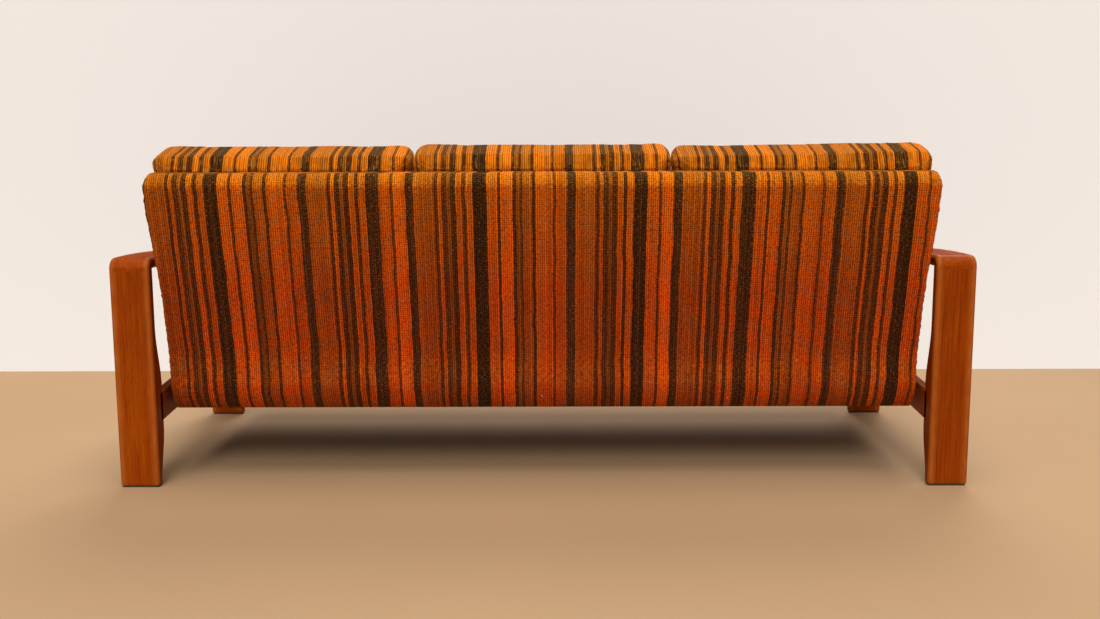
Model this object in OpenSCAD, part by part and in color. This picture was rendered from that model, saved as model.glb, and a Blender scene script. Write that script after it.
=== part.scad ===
// Three-seat sofa: two wooden side frames, an upholstered seat-and-back shell hung between
// them on bolts, and six loose cushions. Millimetres. The front faces -Y, the rear +Y, and
// left is +X, the sitter's left. Lengths in Y run from the rear face of the rear legs, and
// the finished sofa is then centred in Y.

/* [Overall] */
// Width over the two side frames
sofa_w = 1990; // [1700:10:2400]
// Depth of a side frame, from front leg face to rear leg face
frame_d = 770; // [680:5:930]
// Height of the armrest's top at the rear leg
arm_h = 542; // [515:1:660]
// Height of the back's top edge
back_h = 737; // [610:1:790]

/* [Side frames] */
// Width of every leg and armrest
frame_w = 92; // [76:1:112]
// Thickness of the armrest board
arm_t = 27; // [24:1:33]
// Radius of the armrest's long arch
arm_arch_r = 4400; // [3600:50:9000]
// Radius where the armrest turns down into a leg
arm_turn_r = 26; // [14:1:26]
// Radius of the armrest's long edges
arm_edge_r = 9; // [4:0.5:11]
// Thickness of a leg under the armrest
leg_top_t = 28; // [24:1:34]
// Thickness of a leg at its foot
leg_foot_t = 27; // [22:1:34]
// Thickness of a leg where the side rail enters it
haunch_t = 55; // [45:1:66]
// Radius of the legs' upright edges
leg_edge_r = 6; // [4:0.5:8]
// Thickness of the glide under each foot
glide_t = 4; // [3:0.5:6]
// Height of a side rail
rail_h = 71; // [58:1:86]
// Thickness of a side rail
rail_t = 20; // [16:1:24]
// Depth to which the side rail is let into each leg
rail_housing = 18; // [12:1:22]

/* [Shell] */
// Space between a side frame and the shell
shell_gap = 18; // [12:1:26]
// Rise of the seat towards the front, in degrees
seat_slope = 3.5; // [2:0.5:5]
// Height of the seat deck where it meets the back
deck_h = 240; // [225:1:260]
// Thickness of the seat base
base_h = 70; // [62:1:84]
// Set-back of the seat base behind the front leg faces
base_setback = 26; // [10:1:60]
// Lean of the back from upright, in degrees
back_lean = 13.5; // [11:0.5:17]
// Thickness of the upholstered back
back_t = 64; // [60:1:77]
// Distance of the back's upright foot forward of the rear leg face
back_foot_y = 60; // [50:1:72]
// Height at which the back starts to lean
bend_z = 302; // [296:1:310]
// Radius where the back turns under the sofa
tuck_r = 86; // [72:1:104]
// Thickness of the upholstery fabric
fabric_t = 2.5; // [2:0.5:3]

/* [Inner frame] */
// Thickness of the inner seat rails
inner_rail_t = 22; // [18:1:27]
// Height of the inner seat rails
inner_rail_h = 52; // [44:1:52]
// Depth of the back's wooden frame
back_frame_t = 30; // [25:1:30]
// Width of the back's uprights and top rail
back_member_w = 45; // [37:1:55]
// Thickness of the lining board behind the back frame
board_t = 4; // [3:0.5:5]
// Thickness of the elastic webbing
web_t = 2; // [1:0.5:2]
// Width of a webbing strap
web_w = 50; // [40:1:60]

/* [Cushions] */
// Thickness of a seat cushion
seat_cushion_t = 128; // [106:1:154]
// Thickness of a back cushion
back_cushion_t = 140; // [116:1:170]
// Height of the back cushions' tops above the floor
back_cushion_h = 796; // [700:1:860]
// Space between neighbouring cushions
cushion_gap = 3; // [2:0.5:8]
// Space between a cushion and the arm beside it
arm_clearance = 3; // [2:0.5:8]
// Rounding of the cushion edges
cushion_r = 30; // [20:1:40]
// Space between a cushion and what it rests on or leans against
rest_clearance = 0.5; // [0.4:0.1:1]
// Space between a cushion's cover and its foam core
core_gap = 0.5; // [0.3:0.1:1]

/* [Fasteners] */
// Radius of the bolt shanks
bolt_r = 4; // [3:0.5:5]
// Clearance of a bolt in its hole, on the radius
bolt_clearance = 0.25; // [0.2:0.05:0.5]
// Radius of the bolt heads
bolt_head_r = 9; // [8:0.5:11]
// Radius of the dowels between armrest and leg
dowel_r = 5; // [4:0.5:6]
// Depth of a dowel in the armrest
dowel_up = 16; // [12:1:18]
// Depth of a dowel in the leg
dowel_down = 32; // [20:1:40]

/* [Hidden] */
$fn = 64;
SIDES = ["left", "centre", "right"];
WIDE = 3000;
FIT = 0.3;

// Side frames
half_w = sofa_w / 2;
arm_inner = half_w - frame_w;
leg_mid_x = half_w - frame_w / 2;
arch_centre_z = arm_h - arm_arch_r;
function arch_z(radius, y) = arch_centre_z + sqrt(radius * radius - y * y);
function arm_under(y) = arch_z(arm_arch_r - arm_t, y);

// Seat plane: it starts at the foot of the back and rises towards the front
deck_y = -(back_foot_y + back_t);
function deck_z(y) = deck_h + (deck_y - y) * tan(seat_slope);
rail_drop = 14;
function rail_top(y) = deck_z(y) - rail_drop;
function rail_under(y) = rail_top(y) - rail_h / cos(seat_slope);

// Swelling of a leg around the rail
haunch_margin = 8;
haunch_rise = 150;
leg_steps = 12;
function ease(f) = (1 - cos(180 * f)) / 2;

// Shell
shell_half = arm_inner - shell_gap;
base_len = (frame_d - base_setback + deck_y) / cos(seat_slope);
base_under = deck_h - base_h;
base_edge_r = 9;
lining = fabric_t + 0.5;
half_t = back_t / 2;
// Run of the leaning slab, up to the centre of its round top
slab_len = (back_h - half_t - bend_z - half_t * sin(back_lean)) / cos(back_lean);
top_y = -back_foot_y - half_t * cos(back_lean) + slab_len * sin(back_lean);
shift_y = (frame_d - top_y - half_t) / 2;
// Point of the back: q forward of its rear face, s up the slab from the bend
function slab_point(q, s) = [-back_foot_y - q * cos(back_lean) + s * sin(back_lean),
                             bend_z + q * sin(back_lean) + s * cos(back_lean)];
function foot_point(q, z) = [-back_foot_y - q, z];
function bend_point(q) = foot_point(q, bend_z + q * tan(back_lean / 2));

// Layers of the back, as distances forward of its rear face
board_q = lining;
frame_q = board_q + board_t;
web_q = frame_q + back_frame_t;
pad_q = web_q + web_t + FIT;
pad_end_q = back_t - lining;
stile_low = deck_h - 20;
bottom_rail_top = deck_h + 48;
top_rail_h = 60;
back_straps = 6;

// Seat base, inside its cover
inner_half = shell_half - lining;
inner_rear_y = deck_y - lining;
rail_top_drop = 10;
cross_rail_w = 40;
cross_rail_h = 34;
member_x = inner_half / 3;
block_leg = 70;
seat_straps = 12;
long_straps = 4;
dust_t = 1;

// Cushions
seats = 3;
cushion_w = (2 * (arm_inner - arm_clearance) - (seats - 1) * cushion_gap) / seats;
cushion_setback = 8;
// The upright foot of the back is behind a seat cushion that leans back with the deck
seat_rear_gap = rest_clearance + (bend_point(back_t)[1] - deck_h) * tan(seat_slope);
seat_cushion_len = (frame_d - cushion_setback + deck_y) / cos(seat_slope) - seat_rear_gap;
seat_top = rest_clearance + seat_cushion_t;
back_cushion_q = back_t + rest_clearance;
// Run of the back cushion's top, on its highest edge
back_cushion_s = (back_cushion_h - bend_z
                  - (back_cushion_q + back_cushion_t - cushion_r) * sin(back_lean)
                  - cushion_r) / cos(back_lean) + cushion_r;
cover_t = 2;
zip_w = 12;
zip_len = 0.72 * cushion_w;

// Fasteners
side_bolt_run = [block_leg + 50, base_len - block_leg - 50];
side_bolt_drop = 44;
bolt_hole_r = bolt_r + bolt_clearance;
washer_t = 1.5;
washer_r = bolt_head_r + 2;
head_t = 5;
nut_t = 6.5;
nut_r = 7.5;
spacer_r = 13;
thread_out = 3;
back_bolt_x = [for (f = [-0.82, -0.28, 0.28, 0.82]) f * shell_half];
back_bolt_z = deck_h - 36;
dowel_spread = 28;
nail_r = 1.2;
nail_len = 18;
glide_inset = 2.5;

// ---- helpers

// Everything is drawn from the rear leg face and then moved to the middle of the sofa
module centred() translate([0, shift_y, 0]) children();

// A (Y, Z) profile given a width between two X values
module between_x(x0, x1) translate([x0, 0, 0])
    rotate([90, 0, 90]) linear_extrude(x1 - x0) children();

// The same, centred on the sofa's middle
module across(width) between_x(-width / 2, width / 2) children();

module both_sides() {
    children();
    mirror([1, 0, 0]) children();
}

// Rectangle with round corners, from a low corner to a high one
module round_rect(low, high, r) {
    translate([low.x + r, low.y]) square([high.x - low.x - 2 * r, high.y - low.y]);
    translate([low.x, low.y + r]) square([high.x - low.x, high.y - low.y - 2 * r]);
    for (x = [low.x + r, high.x - r], y = [low.y + r, high.y - r])
        translate([x, y]) circle(r);
}

// Seat coordinates: the origin is on the deck's rear edge and -Y runs forward up the deck
module on_deck() translate([0, deck_y, deck_h]) rotate([-seat_slope, 0, 0]) children();

// Back coordinates: Y is 0 on the slab's rear face and Z runs up it from the bend
module on_slab() translate([0, -back_foot_y, bend_z]) rotate([-back_lean, 0, 0]) children();

// All that lies between two planes square to Y
module between_y(y0, y1) translate([-WIDE / 2, y0, -WIDE / 2]) cube([WIDE, y1 - y0, WIDE]);

// A box on the deck, cut upright at its rear by the plane at rear_y
module deck_box(x0, x1, y0, y1, z0, z1, rear_y = inner_rear_y) intersection() {
    on_deck() translate([x0, y0, z0]) cube([x1 - x0, y1 - y0, z1 - z0]);
    between_y(-WIDE, rear_y);
}

// A block with its twelve edges rounded
module soft_block(low, high, r) intersection() {
    translate([0, 0, low.z]) linear_extrude(high.z - low.z)
        round_rect([low.x, low.y], [high.x, high.y], r);
    between_x(low.x, high.x) round_rect([low.y, low.z], [high.y, high.z], r);
    translate([0, high.y, 0]) rotate([90, 0, 0]) linear_extrude(high.y - low.y)
        round_rect([low.x, low.z], [high.x, high.z], r);
}

// ---- side frames

// Thickness of a leg at a height: foot, swelling to the haunch, easing to the top
function leg_t(z, under, over, rise) =
    z <= under ? leg_foot_t + (haunch_t - leg_foot_t) * ease((z - glide_t) / (under - glide_t))
    : z <= over ? haunch_t
    : haunch_t + (leg_top_t - haunch_t) * ease(min(1, (z - over) / rise));

// Leg profile: its outer face is on Y = 0 and it swells towards -Y between two heights
module leg_profile(under, over, top_outer, top_inner) {
    rise = min(haunch_rise, top_inner - over - haunch_margin);
    low = [for (i = [0:leg_steps]) glide_t + (under - glide_t) * i / leg_steps];
    high = [for (i = [0:leg_steps]) over + rise * i / leg_steps];
    inner = [for (z = concat(low, high)) [-leg_t(z, under, over, rise), z]];
    polygon(concat([[0, top_outer], [0, glide_t]], inner, [[-leg_top_t, top_inner]]));
}

// Plan of a side frame, which rounds the upright edges of its legs and arm
module frame_plan() linear_extrude(WIDE)
    round_rect([arm_inner, -frame_d], [half_w, 0], leg_edge_r);

// Side rail, longer than the gap between the legs so that it is let into both
module rail_body() {
    y_rear = rail_housing - haunch_t;
    y_front = haunch_t - rail_housing - frame_d;
    between_x(arm_inner, arm_inner + rail_t) polygon([
        [y_rear, rail_under(y_rear)], [y_rear, rail_top(y_rear)],
        [y_front, rail_top(y_front)], [y_front, rail_under(y_front)]]);
}

// Three dowels in the top of a leg whose middle is at leg_y
module dowels(leg_y) for (x = [-dowel_spread, 0, dowel_spread])
    translate([leg_mid_x + x, leg_y, arm_under(leg_y) - dowel_down])
        cylinder(h = dowel_down + dowel_up, r = dowel_r);

module all_dowels() {
    dowels(-leg_top_t / 2);
    dowels(leg_top_t / 2 - frame_d);
}

// Two nails in the foot of each leg
module nails(r) for (y = [-leg_foot_t / 2, leg_foot_t / 2 - frame_d], x = [-1, 1])
    translate([leg_mid_x + x * dowel_spread, y, 1]) cylinder(h = nail_len, r = r);

module leg(under, over, top_outer, top_inner, face_y) centred() difference() {
    intersection() {
        between_x(arm_inner, half_w) translate([face_y, 0])
            mirror([face_y < 0 ? 1 : 0, 0]) leg_profile(under, over, top_outer, top_inner);
        frame_plan();
    }
    rail_body();
    all_dowels();
    nails(nail_r);
}

module rear_leg() color("sienna") leg(
    rail_under(0) - haunch_margin, rail_top(-haunch_t) + haunch_margin,
    arm_under(0), arm_under(-leg_top_t), 0);

module front_leg() color("sienna") leg(
    rail_under(haunch_t - frame_d) - haunch_margin, rail_top(-frame_d) + haunch_margin,
    arm_under(-frame_d), arm_under(leg_top_t - frame_d), -frame_d);

// Outline that gives the armrest its round ends
module arm_ends() {
    turn = arm_arch_r - arm_turn_r;
    rear = [-arm_turn_r, arch_z(turn, arm_turn_r)];
    front = [arm_turn_r - frame_d, arch_z(turn, frame_d - arm_turn_r)];
    translate([front.x, 0]) square([rear.x - front.x, WIDE]);
    translate([rear.x - 1, 0]) square([arm_turn_r + 1, rear.y]);
    translate([-frame_d, 0]) square([arm_turn_r + 1, front.y]);
    for (centre = [rear, front]) translate(centre) circle(arm_turn_r);
}

// The armrest is a round-edged board bent along a long arch
module armrest() color("sienna") centred() difference() {
    intersection() {
        translate([0, 0, arch_centre_z]) rotate([90, 0, 90]) rotate([0, 0, 89])
            rotate_extrude(angle = 18, $fn = 360)
                round_rect([arm_arch_r - arm_t, arm_inner], [arm_arch_r, half_w], arm_edge_r);
        between_x(arm_inner, half_w) arm_ends();
        frame_plan();
    }
    all_dowels();
}

module side_rail() color("sienna") centred() difference() {
    rail_body();
    side_bolt_places() cylinder(h = WIDE, r = bolt_hole_r);
}

module arm_dowels() color("burlywood") centred() both_sides() all_dowels();

module leg_glides() color("dimgray") centred() both_sides() difference() {
    for (y = [-leg_foot_t, -frame_d]) linear_extrude(glide_t) round_rect(
        [arm_inner + glide_inset, y + glide_inset],
        [half_w - glide_inset, y + leg_foot_t - glide_inset], leg_edge_r);
    nails(nail_r);
}

module glide_nails() color("silver") centred() both_sides() nails(nail_r);

// ---- fasteners

// The places of a side's bolts: Z points out of the sofa from its middle
module side_bolt_places() on_deck() for (run = side_bolt_run)
    translate([0, -run, -side_bolt_drop]) rotate([0, 90, 0]) children();

// A ring or disc on the bolts' axes, between two X values
module on_bolts(x0, x1, r, hole = 0) side_bolt_places() translate([0, 0, x0]) difference() {
    cylinder(h = x1 - x0, r = r);
    if (hole > 0) translate([0, 0, -1]) cylinder(h = x1 - x0 + 2, r = hole);
}

bolt_end_x = inner_half - inner_rail_t - nut_t - thread_out;
head_x = arm_inner + rail_t + washer_t;

module side_bolts() color("silver") centred() both_sides() {
    on_bolts(bolt_end_x, head_x + 1, bolt_r);
    on_bolts(head_x, head_x + head_t, bolt_head_r);
}

module side_washers() color("silver") centred() both_sides()
    on_bolts(arm_inner + rail_t, head_x, washer_r, bolt_hole_r);

module side_spacers() color("sienna") centred() both_sides()
    on_bolts(shell_half, arm_inner, spacer_r, bolt_hole_r);

module side_nuts() color("gray") centred() both_sides()
    on_bolts(inner_half - inner_rail_t - nut_t, inner_half - inner_rail_t, nut_r, bolt_r);

// The places of the bolts that hold the back: Z points to the rear
module back_bolt_places() for (x = back_bolt_x)
    translate([x, inner_rear_y, back_bolt_z]) rotate([-90, 0, 0]) children();

bottom_rail_t = back_t - web_q - lining;
back_grip = 2 * lining + bottom_rail_t;

module back_bolt_holes() back_bolt_places()
    translate([0, 0, -inner_rail_t - 1]) cylinder(h = inner_rail_t + back_grip + 2, r = bolt_hole_r);

module back_bolts() color("silver") centred() back_bolt_places() {
    translate([0, 0, -inner_rail_t - 1]) cylinder(h = inner_rail_t + 1 + back_grip + nut_t, r = bolt_r);
    translate([0, 0, -inner_rail_t - head_t]) cylinder(h = head_t, r = bolt_head_r);
}

module back_nuts() color("gray") centred() back_bolt_places()
    translate([0, 0, back_grip]) difference() {
        cylinder(h = nut_t, r = nut_r);
        translate([0, 0, -1]) cylinder(h = nut_t + 2, r = bolt_r);
    }

// ---- seat base

rail_low = -rail_top_drop - inner_rail_h;
front_y = lining - base_len;

module seat_side_rail() color("burlywood") centred() difference() {
    deck_box(inner_half - inner_rail_t, inner_half, front_y, WIDE, rail_low, -rail_top_drop);
    side_bolt_places() cylinder(h = WIDE, r = bolt_hole_r);
}

module seat_front_rail() color("burlywood") centred()
    deck_box(inner_rail_t - inner_half, inner_half - inner_rail_t,
             front_y, front_y + inner_rail_t, rail_low, -rail_top_drop);

module seat_rear_rail() color("burlywood") centred() difference() {
    intersection() {
        deck_box(inner_rail_t - inner_half, inner_half - inner_rail_t,
                 front_y, WIDE, rail_low, -rail_top_drop);
        between_y(inner_rear_y - inner_rail_t, 0);
    }
    back_bolt_holes();
}

module seat_cross_rails() color("burlywood") centred() for (x = [-member_x, member_x])
    deck_box(x - cross_rail_w / 2, x + cross_rail_w / 2, front_y + inner_rail_t, WIDE,
             -rail_top_drop - cross_rail_h, -rail_top_drop, inner_rear_y - inner_rail_t);

// Triangular blocks glued into the corners of the seat frame
module corner_blocks() color("tan") centred() both_sides() {
    corner_x = inner_half - inner_rail_t;
    intersection() {
        on_deck() for (end = [[front_y + inner_rail_t, 1], [-inner_rail_t - lining, -1]])
            translate([corner_x, end[0], rail_low]) mirror([0, end[1] < 0 ? 1 : 0, 0])
                linear_extrude(inner_rail_h) polygon([[0, -block_leg / 2], [0, block_leg],
                                                      [-block_leg, -block_leg / 2]]);
        union() {
            on_deck() translate([-WIDE / 2, front_y + inner_rail_t, -WIDE / 2])
                cube([WIDE, base_len / 2, WIDE]);
            on_deck() translate([-WIDE / 2, -base_len / 2, -WIDE / 2])
                cube([WIDE, base_len / 2, WIDE]);
        }
        between_y(-WIDE, inner_rear_y - inner_rail_t);
    }
}

// Straps from front to rear, side by side over the frame
module seat_webbing() color("wheat") centred() {
    pitch = 2 * inner_half / seat_straps;
    for (i = [0:seat_straps - 1]) {
        x = -inner_half + (i + 0.5) * pitch;
        deck_box(x - web_w / 2, x + web_w / 2, front_y, WIDE,
                 -rail_top_drop, -rail_top_drop + web_t);
    }
}

// Straps from side to side, over the others
module seat_webbing_long() color("wheat") centred() {
    pitch = base_len / (long_straps + 1);
    for (i = [1:long_straps])
        deck_box(-inner_half, inner_half, -i * pitch - web_w / 2, -i * pitch + web_w / 2,
                 -rail_top_drop + web_t, -rail_top_drop + 2 * web_t);
}

module seat_deck_pad() color("ivory") centred()
    deck_box(-inner_half, inner_half, front_y + base_edge_r, WIDE,
             -rail_top_drop + 2 * web_t, -lining);

// Outside of the seat base, shrunk by an inset and open below when it is not zero
module base_block(inset) intersection() {
    on_deck() between_x(inset - shell_half, shell_half - inset)
        round_rect([inset - base_len, inset > 0 ? -WIDE : -base_h], [WIDE, -inset],
                   base_edge_r - inset);
    between_y(-WIDE, deck_y - inset);
}

module seat_base_cover() color("peru") centred() difference() {
    base_block(0);
    base_block(fabric_t);
    both_sides() side_bolt_places() cylinder(h = WIDE, r = bolt_hole_r);
    back_bolt_holes();
}

module dust_cover() color("black") centred()
    deck_box(-inner_half, inner_half, front_y + base_edge_r, WIDE, -base_h, dust_t - base_h);

// ---- back

// A strip of the back between two layers, from a height in its foot to a run up the slab
module strip(q0, q1, low_z, run) polygon([
    foot_point(q0, low_z), bend_point(q0), slab_point(q0, run),
    slab_point(q1, run), bend_point(q1), foot_point(q1, low_z)]);

// A strip of the slab alone
module slab_strip(q0, q1, s0, s1)
    polygon([slab_point(q0, s0), slab_point(q0, s1), slab_point(q1, s1), slab_point(q1, s0)]);

// The round that takes the back under the sofa
module tuck(inset) {
    centre_y = -back_foot_y - tuck_r;
    translate([centre_y, deck_h]) circle(tuck_r - inset, $fn = 96);
    translate([-WIDE, -WIDE]) square([WIDE + centre_y, 2 * WIDE]);
    translate([-WIDE, deck_h]) square([2 * WIDE, WIDE]);
}

// Outline of the whole back: an upright foot, a leaning slab and a round top
module back_outline(inset) {
    intersection() {
        strip(inset, back_t - inset, base_under + inset, slab_len);
        tuck(inset);
    }
    translate(slab_point(half_t, slab_len)) circle(half_t - inset);
}

module back_cover() color("chocolate") centred() difference() {
    across(2 * shell_half) back_outline(0);
    across(2 * (shell_half - fabric_t)) back_outline(fabric_t);
    back_bolt_holes_front();
}

// The back bolts pass only through the front of the cover
module back_bolt_holes_front() back_bolt_places() cylinder(h = back_grip, r = bolt_hole_r);

module stile(x_mid, run) between_x(x_mid - back_member_w / 2, x_mid + back_member_w / 2)
    strip(frame_q, web_q, stile_low, run);

module back_outer_stile() color("burlywood") centred()
    stile(inner_half - back_member_w / 2, slab_len);

module back_mid_stiles() color("burlywood") centred() both_sides()
    stile(member_x, slab_len - top_rail_h);

module back_top_rail() color("burlywood") centred()
    across(2 * (inner_half - back_member_w))
        slab_strip(frame_q, web_q, slab_len - top_rail_h, slab_len);

module back_bottom_rail() color("burlywood") centred() difference() {
    across(2 * inner_half) polygon([
        foot_point(web_q, base_under + lining), foot_point(web_q, bottom_rail_top),
        foot_point(pad_end_q, bottom_rail_top), foot_point(pad_end_q, base_under + lining)]);
    back_bolt_holes();
}

module back_webbing() color("wheat") centred() for (i = [0:back_straps - 1]) {
    s = 30 + i * (slab_len - 60 - web_w) / (back_straps - 1);
    across(2 * inner_half) slab_strip(web_q, web_q + web_t, s, s + web_w);
}

module back_board() color("tan") centred()
    across(2 * inner_half) strip(board_q, frame_q, deck_h, slab_len);

module back_padding() color("ivory") centred()
    across(2 * inner_half) strip(pad_q, pad_end_q, bottom_rail_top + 1, slab_len);

// Half-round foam along the top of the frame
module back_top_roll() color("ivory") centred() across(2 * inner_half) intersection() {
    translate(slab_point(half_t, slab_len)) circle(half_t - lining);
    slab_strip(0, back_t, slab_len + FIT, slab_len + back_t);
}

// Foam that rounds the back over its bottom edge
module back_tuck_pad() color("ivory") centred() difference() {
    across(2 * inner_half) intersection() {
        tuck(lining);
        polygon([foot_point(lining, base_under + lining), foot_point(lining, stile_low - FIT),
                 foot_point(web_q - FIT, stile_low - FIT),
                 foot_point(web_q - FIT, base_under + lining)]);
    }
    back_bolt_places() cylinder(h = WIDE, r = nut_r + FIT);
}

// ---- cushions: each is a closed cover round a foam core, with a zip let into its rear

function cushion_x(i) = (1 - i) * (cushion_w + cushion_gap);

// A seat cushion shrunk by an inset, on the deck
module seat_block(inset) on_deck() soft_block(
    [inset - cushion_w / 2, inset - seat_cushion_len - seat_rear_gap, rest_clearance + inset],
    [cushion_w / 2 - inset, -seat_rear_gap - inset, seat_top - inset], cushion_r - inset);

module seat_zip_bar() on_deck()
    translate([-zip_len / 2, -seat_rear_gap - cover_t, rest_clearance + (seat_cushion_t - zip_w) / 2])
        cube([zip_len, cover_t, zip_w]);

// A back cushion shrunk by an inset: a leaning block, cut below parallel to the seat
module back_block(inset) intersection() {
    on_slab() soft_block(
        [inset - cushion_w / 2, inset - back_cushion_q - back_cushion_t, -back_cushion_s],
        [cushion_w / 2 - inset, -back_cushion_q - inset, back_cushion_s - inset],
        cushion_r - inset);
    on_deck() translate([-WIDE / 2, -WIDE / 2, seat_top + rest_clearance + inset])
        cube([WIDE, WIDE, WIDE]);
}

zip_s = back_cushion_s / 2;
module back_zip_bar() on_slab() translate([-zip_len / 2, -back_cushion_q - cover_t, zip_s])
    cube([zip_len, cover_t, zip_w]);

module seat_cushion(i) color("orangered") centred() translate([cushion_x(i), 0, 0])
    difference() {
        seat_block(0);
        seat_block(cover_t);
        seat_zip_bar();
    }

module seat_core(i) color("ivory") centred() translate([cushion_x(i), 0, 0])
    seat_block(cover_t + core_gap);

module seat_zip(i) color("saddlebrown") centred() translate([cushion_x(i), 0, 0])
    seat_zip_bar();

module back_cushion(i) color("darkorange") centred() translate([cushion_x(i), 0, 0])
    difference() {
        back_block(0);
        back_block(cover_t);
        back_zip_bar();
    }

module back_core(i) color("ivory") centred() translate([cushion_x(i), 0, 0])
    back_block(cover_t + core_gap);

module back_zip(i) color("saddlebrown") centred() translate([cushion_x(i), 0, 0])
    back_zip_bar();

// ---- nodes

rear_leg();  // left_rear_leg
mirror([1, 0, 0]) rear_leg();  // right_rear_leg
front_leg();  // left_front_leg
mirror([1, 0, 0]) front_leg();  // right_front_leg
armrest();  // left_armrest
mirror([1, 0, 0]) armrest();  // right_armrest
side_rail();  // left_side_rail
mirror([1, 0, 0]) side_rail();  // right_side_rail
arm_dowels();
leg_glides();
glide_nails();
seat_front_rail();
seat_rear_rail();
seat_side_rail();  // seat_left_rail
mirror([1, 0, 0]) seat_side_rail();  // seat_right_rail
seat_cross_rails();
corner_blocks();
seat_webbing();
seat_webbing_long();
seat_deck_pad();
seat_base_cover();
dust_cover();
back_outer_stile();  // back_left_stile
mirror([1, 0, 0]) back_outer_stile();  // back_right_stile
back_mid_stiles();
back_top_rail();
back_bottom_rail();
back_webbing();
back_board();
back_padding();
back_top_roll();
back_tuck_pad();
back_cover();
side_bolts();
side_washers();
side_spacers();
side_nuts();
back_bolts();
back_nuts();
for (i = [0:seats - 1]) {
    seat_cushion(i);
    seat_core(i);
    seat_zip(i);
    back_cushion(i);
    back_core(i);
    back_zip(i);
}
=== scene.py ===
import math

import bpy
import numpy as np
from mathutils import Matrix, Vector


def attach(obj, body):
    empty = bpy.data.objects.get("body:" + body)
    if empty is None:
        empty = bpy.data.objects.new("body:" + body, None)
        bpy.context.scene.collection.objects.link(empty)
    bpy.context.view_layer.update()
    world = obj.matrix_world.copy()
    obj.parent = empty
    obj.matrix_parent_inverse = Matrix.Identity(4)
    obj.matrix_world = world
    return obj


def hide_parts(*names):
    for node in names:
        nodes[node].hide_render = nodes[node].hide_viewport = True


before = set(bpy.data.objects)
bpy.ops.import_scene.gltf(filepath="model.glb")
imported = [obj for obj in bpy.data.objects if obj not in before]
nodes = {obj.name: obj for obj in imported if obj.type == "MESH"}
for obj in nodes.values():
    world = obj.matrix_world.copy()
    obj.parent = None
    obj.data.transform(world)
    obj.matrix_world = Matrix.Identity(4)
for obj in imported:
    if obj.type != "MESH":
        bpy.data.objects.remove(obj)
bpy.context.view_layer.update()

# ---------------- camera
# A plain camera behind the sofa, a little above the seat and looking slightly down.
camera_place = (-0.030, 3.026, 0.8065)
camera_heading, camera_tilt, camera_roll = 180.27, 81.75, -0.20


def placed(name, data):
    """Puts a camera, lamp or mesh into the scene as an object of that name."""
    made = bpy.data.objects.new(name, data)
    bpy.context.scene.collection.objects.link(made)
    return made


camera = placed("camera", bpy.data.cameras.new("camera"))
camera.data.lens = 38.22
camera.data.sensor_width = 36.0
camera_turn = (Matrix.Rotation(math.radians(camera_heading), 4, "Z")
               @ Matrix.Rotation(math.radians(camera_tilt), 4, "X")
               @ Matrix.Rotation(math.radians(camera_roll), 4, "Z"))
camera.matrix_world = Matrix.Translation(camera_place) @ camera_turn
bpy.context.scene.camera = camera
bpy.context.scene.view_settings.view_transform = "Standard"

# ---------------- room and light
# A pale plain floor and an off-white wall in front of the sofa. The wall shows only from its
# room side and only to the eye, so it never blocks light or hides the sofa's front.


def new_material(name, values):
    """A material with only its own Principled shader and output, and the shader's plain values by
    socket name; gives the material, its tree and the shader."""
    material = bpy.data.materials.new(name)
    material.use_nodes = True
    shader = material.node_tree.nodes["Principled BSDF"]
    for key, value in values.items():
        shader.inputs[key].default_value = value
    return material, material.node_tree, shader


def node(tree, kind, inputs=None, **settings):
    """Adds one shader node; inputs are sockets to join or values to set, by name or number."""
    made = tree.nodes.new("ShaderNode" + kind)
    for key, value in settings.items():
        setattr(made, key, value)
    for key, value in (inputs or {}).items():
        if isinstance(value, bpy.types.NodeSocket):
            tree.links.new(value, made.inputs[key])
        else:
            made.inputs[key].default_value = value
    return made


def mix_colour(tree, factor, first, second, blend="MIX"):
    """Mixes two colours by a factor; gives the colour socket."""
    made = node(tree, "Mix", {0: factor, 6: first, 7: second}, data_type="RGBA", blend_type=blend)
    return made.outputs[2]


def maths(tree, operation, *values, clamp=False):
    """One sum on numbers or sockets; gives its result."""
    made = node(tree, "Math", dict(enumerate(values)), operation=operation, use_clamp=clamp)
    return made.outputs[0]


def remap(tree, value, low, high, first=0.0, last=1.0):
    """Carries a value from one range to another and holds it there; gives its result."""
    return node(tree, "MapRange", {0: value, 1: low, 2: high, 3: first, 4: last}).outputs[0]


def quad(name, corners):
    """One four-cornered sheet of the room."""
    mesh = bpy.data.meshes.new(name)
    mesh.from_pydata(corners, [], [(0, 1, 2, 3)])
    made = placed(name, mesh)
    return made


room_half, wall_y, wall_top = 40.0, -1.04, 6.0
floor = quad("floor", [(-room_half, -room_half, 0), (room_half, -room_half, 0),
                       (room_half, room_half, 0), (-room_half, room_half, 0)])
floor_paint, tree, shader = new_material("pale_floor", {"Roughness": 0.75,
                                                        "Specular IOR Level": 0.12})
place = node(tree, "TexCoord").outputs["Object"]
cloud = node(tree, "TexNoise", {"Vector": place, "Scale": 1.3, "Detail": 4.0})
tint = mix_colour(tree, cloud.outputs["Fac"], (0.37, 0.240, 0.140, 1), (0.42, 0.275, 0.162, 1))
tree.links.new(tint, shader.inputs["Base Color"])
floor.data.materials.append(floor_paint)

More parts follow.
